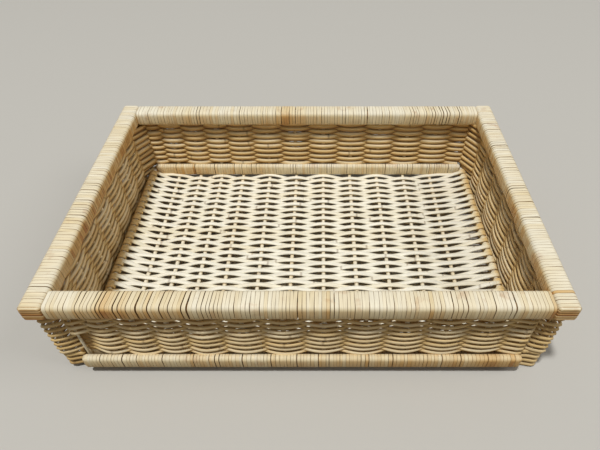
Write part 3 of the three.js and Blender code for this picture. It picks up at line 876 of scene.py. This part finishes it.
def weave_floor(node, rng):
    """Takes a cane to and fro over the floor stakes, with turns round the rods."""
    edge_inset, tint, run = 0.15, 1.0, 90
    measures = sizes()
    width, thickness = measures.floor_weaver_width, measures.floor_weaver_thickness
    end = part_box(node)[1].y - edge_inset * width
    rows = round(2 * end / measures.floor_row_pitch) + 1
    pitch = 2 * end / (rows - 1)
    stakes = [middle(n).x for n in named("floor_stake")]
    stake_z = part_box("floor_stake_01")[0].z + measures.stake_diameter / 2
    rods = middle("side_rod_left"), middle("side_rod_right")
    reach = (measures.stake_diameter + thickness) / 2
    rod_reach = (extent("side_rod_left").z + thickness) / 2
    up = Vector(UP)
    points = []
    for row in range(rows):
        y = row * pitch - end
        feet = [Vector((x, y + rng.gauss(0, measures.wobble), stake_z)) for x in stakes]
        left, right = ((Vector((rod.x, y, rod.z)), rod_reach) for rod in rods)
        crossings = [left, *((foot, reach) for foot in feet), right]
        stops = [(foot, up, off * (-1) ** (row + n)) for n, (foot, off) in enumerate(crossings)]
        route = woven(stops)
        rightward = row % 2 == 0
        points += route if rightward else route[::-1]
        if row < rows - 1:
            points += rod_turn(rods[1 if rightward else 0], points[-1], pitch, rod_reach)
    marks = cane_marks(len(points), rng, tint, run)
    marks["age_and_shadow"] = [age_and_shadow(p, rods[1].x, rod_reach) for p in points]
    cane(node, points, marks, "floor_cane", width, thickness, BACK)


class BASKET_OT_floor_weave(bpy.types.Operator):
    """Weave the floor cane to and fro between the side rods"""

    bl_idname = "basket.floor_weave"
    bl_label = "Floor Weave"

    def execute(self, context):
        weave_floor("floor_weaver", random.Random(41))
        return {"FINISHED"}


# Peel

TURN_WIDTHS = (0.75, 1.3)
LOOSE_SLITS, TIGHT_SLITS = (0.1, 0.24), (0.0, 0.02)
GROUP_TINTS = (-0.06, 0.07)
ACCENT_TINTS, ACCENT_SHARE = (0.1, 0.2), 0.05
LEAST_TINT, GOLDEN_TINT, TINT_STRAY = 0.1, 0.5, 0.06
TIGHT_SEAM_SHADES = (0.0, 0.3)
LEAN_STRAY, FACE_LEAN = 0.012, 0.7
LIFTS = (-0.005, 0.006)
FADE_TURNS = 6
SOFT_END = 0.06
TURN_MARKS = ("tint", "girth", "lift", "lean_top", "lean_face", "seam_shade")
FOLD_MARKS = ("tint", "across", "along", "seam_shade")
# The seams between the folded strips are painted shade in the grooves between them.
FOLD_TINTS, FOLD_SEAM_SHADE = (0.1, 0.45), 0.9
FOLD_STEPS, STRIP_STEPS, GROOVE_POWER = 12, 6, 6
WELD_DISTANCE = 1e-6


def between(share, start, end, soft=SOFT_END):
    """1 inside a stretch of the rail, 0 outside it, with soft ends."""
    return clamp(min((share - start) / soft, (end - share) / soft), 0.0, 1.0)


def look_at(look, share):
    """A look's value at a place on the rail: its even part, and what its stretches add."""
    even, *stretches = look
    return sum((amount * between(share, *stretch) for amount, *stretch in stretches), even)


def turn_marks(half_length, width, rng, looks, group, seam_shade_depth, calm_ends):
    """Turns of peel laid from one end of a rail to the other, with their widths, leans, tints and seams."""
    turns = []
    at = -half_length
    left, shift = group, 0.0
    while at < half_length:
        share = (at + half_length) / (2 * half_length)
        loose, lean, golden, stain = (look_at(look, share) for look in looks)
        turn = width * rng.uniform(*TURN_WIDTHS)
        is_loose = rng.random() < loose + stain
        left -= 1
        if left == 0:
            left = group + rng.randint(-1, 1)
            shift = rng.uniform(*GROUP_TINTS)
            is_loose = True
        slit = width * rng.uniform(*(LOOSE_SLITS if is_loose else TIGHT_SLITS))
        accent = rng.uniform(*ACCENT_TINTS) if rng.random() < ACCENT_SHARE else 0.0
        tint = LEAST_TINT + GOLDEN_TINT * golden + rng.gauss(0, TINT_STRAY) + shift + accent + stain
        # A seam's darkness is partly the rail seen through a loose seam and partly painted shade.
        seam_shade = 1.0 if is_loose else seam_shade_depth * rng.uniform(*TIGHT_SEAM_SHADES)
        lean += rng.gauss(0, LEAN_STRAY)
        turns.append((at + turn / 2, turn, max(0.0, tint), lean, rng.uniform(*LIFTS), seam_shade))
        at += turn + slit
    fit = 2 * half_length / (at + half_length)
    places, marks = [], []
    for place, turn, tint, lean, lift, seam_shade in turns:
        x = (place + half_length) * fit - half_length
        fade = min(1.0, (half_length - abs(x)) / (FADE_TURNS * width))
        if calm_ends:
            seam_shade *= fade
        places.append((x, 0.0, 0.0))
        marks.append((tint, turn * fit / width, lift, lean * fade, -FACE_LEAN * lean * fade, seam_shade))
    return places, dict(zip(TURN_MARKS, zip(*marks)))


def rail_shape(node):
    """Whether a rail runs along Y, its length, its thickness and its height."""
    box = extent(node)
    along_y = box.y > box.x
    return along_y, max(box.x, box.y), min(box.x, box.y), box.z


def lay_peel(node, slot, width, corner, material, rng, looks, inset, group=0, seam_shade_depth=1.0):
    """Turns of peel in place of a packed wrap, in groups of a number of turns or in none."""
    along_y, run, thick, height = rail_shape(node)
    places, marks = turn_marks(run / 2 - inset, width, rng, looks, group, seam_shade_depth, along_y)
    piece = grown(node + "_turns", places, [], marks, PEEL_TREE, {
        "Rail Width": thick, "Rail Height": height, "Corner": corner, "Turn Width": width,
        "Thickness": sizes().peel_thickness, "Rail Turn": math.pi / 2 if along_y else 0.0,
        "Rail Middle": middle(node), "Finish": material,
    })
    settle(piece, slot, node)


def weld(mesh):
    """Joins the points that lie on each other."""
    work = bmesh.new()
    work.from_mesh(mesh)
    bmesh.ops.remove_doubles(work, verts=work.verts, dist=WELD_DISTANCE)
    work.to_mesh(mesh)
    work.free()


def sheet_faces(start, rows, columns, centre):
    """Quads between the points of a sheet, and a fan from its border to a point behind it."""
    faces = []
    for row in range(rows - 1):
        for column in range(columns - 1):
            here = start + row * columns + column
            faces.append((here, here + columns, here + columns + 1, here + 1))
    last = start + (rows - 1) * columns
    border = list(range(start, start + columns))
    border += range(start + 2 * columns - 1, last + columns, columns)
    border += range(last + columns - 2, last - 1, -1)
    border += range(last - columns, start, -columns)
    faces += [(centre, here, following) for here, following in zip(border, border[1:] + border[:1])]
    return faces


def fold_ends(node, slot, strips, proud, corner, material, rng):
    """Peel folded over the two ends of a rail, in level strips with rounded edges."""
    peel, round_off = sizes().peel_thickness, sizes().end_round
    slack, groove, tuck = 0.3 * peel, 0.7 * peel, 3 * round_off
    at = middle(node)
    along_y, run, thick, height = rail_shape(node)
    half, rise = thick / 2 - slack, height / 2 - slack
    rows, columns = strips * STRIP_STEPS + 1, FOLD_STEPS + 3
    verts, faces, marks = [], [], []

    def put(u, v, z, *values):
        x, y = (u, v) if along_y else (v, u)
        verts.append((at.x + x, at.y + y, at.z + z))
        marks.append(values)

    for end in (-1, 1):
        tints = [rng.uniform(*FOLD_TINTS) for _ in range(strips)]
        start = len(verts)
        for row in range(rows):
            z = rise * (2 * row / (rows - 1) - 1)
            strip = min(row // STRIP_STEPS, strips - 1)
            place = 2 * (row / STRIP_STEPS - strip) - 1
            over = max(0.0, abs(z) - (rise - corner))
            reach = half - corner + math.sqrt(max(0.0, corner ** 2 - over ** 2))
            for column in range(-1, FOLD_STEPS + 2):
                u = reach * (2 * clamp(column, 0, FOLD_STEPS) / FOLD_STEPS - 1)
                depth = min(reach - abs(u), rise - abs(z), round_off)
                drop = round_off - math.sqrt(round_off ** 2 - (round_off - depth) ** 2)
                inside = 0 <= column <= FOLD_STEPS and 0 < row < rows - 1
                v = run / 2 + proud - drop - groove * abs(place) ** GROOVE_POWER - (0 if inside else tuck)
                put(u, end * v, z, tints[strip], place, u, FOLD_SEAM_SHADE)
        centre = len(verts)
        put(0.0, end * (run / 2 - tuck), 0.0, 0.0, 0.0, 0.0, 0.0)
        is_outward = (end > 0) == along_y
        for face in sheet_faces(start, rows, columns, centre):
            faces.append(face if is_outward else face[::-1])
    name = node.removesuffix("_wrap") + "_end_folds"
    mesh = bpy.data.meshes.new(name)
    mesh.from_pydata(verts, [], faces)
    set_marks(mesh, dict(zip(FOLD_MARKS, zip(*marks))))
    weld(mesh)
    mesh.shade_smooth()
    mesh.materials.append(material)
    settle(linked(name, mesh), slot)


# The looks of each rim: loose turns, lean, golden peel and stains. A look is an even part, then stretches:
# an amount, where it starts and ends along the rail, and how soft its ends are.
RIM_LOOKS = {
    "front": (
        (0.05, (0.5, 0.03, 0.36)),
        (0.0, (0.1, 0.04, 0.36)),
        (0.1, (0.3, 0.05, 0.22), (0.3, 0.64, 0.7)),
        (0.0, (0.4, 0.985, 1.02, 0.01), (0.1, 0.105, 0.125, 0.01)),
    ),
    "back": (
        (0.06, (0.35, 0.7, 0.98), (0.8, 0.16, 0.18, 0.004)),
        (0.0, (-0.08, 0.7, 0.98)),
        (0.1, (0.15, 0.3, 0.55)),
        (0.0,),
    ),
    "left": (
        (0.04, (0.12, 0.15, 0.6)),
        (0.0, (0.04, 0.15, 0.6)),
        (0.18,),
        (0.0,),
    ),
    "right": (
        (0.05, (0.1, 0.3, 0.9)),
        (-0.03,),
        (0.05, (0.3, 0.3, 0.5)),
        (0.0, (0.6, 0.038, 0.052, 0.002)),
    ),
}
BASE_LOOSE, BASE_LEAN, BASE_STAIN = (0.04,), (0.02,), (0.0,)
BASE_GOLDEN = {
    "front": (0.35, (0.2, 0.55, 1.02), (0.2, 0.2, 0.3)),
    "back": (0.05, (0.15, 0.0, 0.4)),
}


class BASKET_OT_rim_peel(bpy.types.Operator):
    """Lay the turns of peel on the four sides of the rim, and fold peel over the side rims' ends"""

    bl_idname = "basket.rim_peel"
    bl_label = "Rim Peel"

    def execute(self, context):
        turn_seed, fold_seed, strips, proud = 50, 60, 5, 0.0
        slot = "rim_peel"
        measures = sizes()
        corner = measures.rim_corner
        long_material = peel_finish("long_rim_peel_finish", face_shade_tint=0.36, face_seam_shade=0.4)
        side_material = peel_finish("side_rim_peel_finish", face_shade_tint=0.6, face_seam_shade=0.5)
        for number, (side, looks) in enumerate(RIM_LOOKS.items()):
            node = "rim_" + side + "_wrap"
            is_side = side in SIDES
            material = side_material if is_side else long_material
            inset = measures.end_round if is_side else 0.0
            rng = random.Random(turn_seed + number)
            lay_peel(node, slot, measures.rim_turn, corner, material, rng, looks, inset)
            if is_side:
                fold_ends(node, slot, strips, proud, corner, material, random.Random(fold_seed + number))
        return {"FINISHED"}


class BASKET_OT_base_peel(bpy.types.Operator):
    """Lay the turns of peel on the four base rails, and fold peel over their ends"""

    bl_idname = "basket.base_peel"
    bl_label = "Base Peel"

    def execute(self, context):
        group, seam_shade_depth, strips, proud = 8, 0.4, 3, 0.0003
        seed, fold_seeds = 70, 80
        slot = "base_peel"
        measures = sizes()
        corner = measures.base_corner
        material = peel_finish("base_peel_finish", face_shade_tint=0.25, face_seam_shade=0.25, ripeness=0.04)
        for end, golden in BASE_GOLDEN.items():
            looks = (BASE_LOOSE, BASE_LEAN, golden, BASE_STAIN)
            for place in ("outer", "inner"):
                node = "base_" + end + "_" + place + "_wrap"
                seed += 1
                lay_peel(
                    node, slot, measures.base_turn, corner, material, random.Random(seed), looks,
                    measures.end_round, group, seam_shade_depth,
                )
                fold_ends(node, slot, strips, proud, corner, material, random.Random(fold_seeds + seed))
        return {"FINISHED"}


class BASKET_OT_rails(bpy.types.Operator):
    """Finish the split rails inside the rim and the base"""

    bl_idname = "basket.rails"
    bl_label = "Split Rails"

    def execute(self, context):
        coarse, fine = 9.0, 420.0
        along_x = rail_finish("long_rail_finish", (coarse, fine, fine))
        along_y = rail_finish("side_rail_finish", (fine, coarse, fine))
        for name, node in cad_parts.items():
            if name.endswith("_rail"):
                box = extent(name)
                node.data.materials.clear()
                node.data.materials.append(along_x if box.x > box.y else along_y)
        return {"FINISHED"}


# Stage


def seen_directly(net):
    """1 where the eye, a gloss or a glass looks straight at it, 0 where it only gives light."""
    rays = net.add("ShaderNodeLightPath").outputs
    seen = net.math("MAXIMUM", rays["Is Camera Ray"], rays["Is Glossy Ray"])
    return net.math("MAXIMUM", seen, rays["Is Transmission Ray"])


def add_lamp(name, place, width, power):
    aim_height = 0.03
    data = bpy.data.lights.new(name, "AREA")
    data.shape = "SQUARE"
    data.size = width
    data.energy = power
    lamp = linked(name, data)
    lamp.location = place
    aim = Vector((0, 0, aim_height)) - Vector(place)
    lamp.rotation_euler = aim.to_track_quat("-Z", "Y").to_euler()


def add_floor():
    reach, roughness = 8.0, 0.9
    mesh = bpy.data.meshes.new("ground")
    corners = [(-reach, -reach, 0), (reach, -reach, 0), (reach, reach, 0), (-reach, reach, 0)]
    mesh.from_pydata(corners, [], [(0, 1, 2, 3)])
    ground = linked("ground", mesh)
    material, net, shader = new_finish("ground")
    shade = blended(net, seen_directly(net), colours().ground_bounce, colours().ground)
    net.fill(shader, {"Base Color": shade, "Roughness": roughness})
    mesh.materials.append(material)


def add_lights(scene):
    room_light, room_seen = 0.2, 0.6
    world = bpy.data.worlds.new("Soft room")
    world.use_nodes = True
    scene.world = world
    net = Net(world.node_tree)
    room = world.node_tree.nodes["Background"]
    strength = net.times(seen_directly(net), room_seen - room_light, room_light)
    net.fill(room, {"Color": (1.0, 0.99, 0.97, 1.0), "Strength": strength})
    add_lamp("key", (-0.9, -1.3, 6.0), 0.45, 254.0)
    add_lamp("fill", (3.2, -0.4, 3.4), 2.0, 36.0)


def add_camera(scene):
    focal_pixels, image_width, degrees_down = 483.6, 600, 45.144
    pixels_right, pixels_up = -21.2, -1.6
    data = bpy.data.cameras.new("camera")
    data.sensor_width = 36.0
    data.lens = data.sensor_width * focal_pixels / image_width
    data.shift_x = pixels_right / image_width
    data.shift_y = pixels_up / image_width
    camera = linked("camera", data)
    camera.location = (0.0173, -0.3708, 0.4216)
    camera.rotation_euler = (math.radians(90 - degrees_down), 0, 0)
    scene.camera = camera


class BASKET_OT_stage(bpy.types.Operator):
    """Set the pale floor, the soft lights and the camera"""

    bl_idname = "basket.stage"
    bl_label = "Stage"

    def execute(self, context):
        scene = context.scene
        scene.view_settings.view_transform = "Standard"
        add_floor()
        add_lights(scene)
        add_camera(scene)
        return {"FINISHED"}


class BASKET_PT_panel(bpy.types.Panel):
    """Steps and measures of the basket"""

    bl_idname = "BASKET_PT_panel"
    bl_label = "Cane Basket"
    bl_space_type = "VIEW_3D"
    bl_region_type = "UI"
    bl_category = "Basket"

    def draw(self, context):
        for step in STEPS:
            self.layout.operator(step.bl_idname)
        for group in (context.scene.basket_sizes, context.scene.basket_colours):
            box = self.layout.box()
            for key in group.__annotations__:
                box.prop(group, key)


STEPS = (
    BASKET_OT_stage, BASKET_OT_rails, BASKET_OT_stakes, BASKET_OT_rods, BASKET_OT_floor_weave,
    BASKET_OT_side_weave, BASKET_OT_wall_weave, BASKET_OT_base_peel, BASKET_OT_rim_peel,
)
CLASSES = (BasketSizes, BasketColours, *STEPS, BASKET_PT_panel)


def register():
    for kind in CLASSES:
        bpy.utils.register_class(kind)
    bpy.types.Scene.basket_sizes = PointerProperty(type=BasketSizes)
    bpy.types.Scene.basket_colours = PointerProperty(type=BasketColours)


def unregister():
    del bpy.types.Scene.basket_colours
    del bpy.types.Scene.basket_sizes
    for kind in reversed(CLASSES):
        bpy.utils.unregister_class(kind)


def main():
    register()
    bpy.ops.basket.stage()
    bpy.ops.basket.rails()
    bpy.ops.basket.stakes()
    bpy.ops.basket.rods()
    bpy.ops.basket.floor_weave()
    bpy.ops.basket.side_weave()
    bpy.ops.basket.wall_weave()
    bpy.ops.basket.base_peel()
    bpy.ops.basket.rim_peel()


if __name__ == "__main__":
    main()
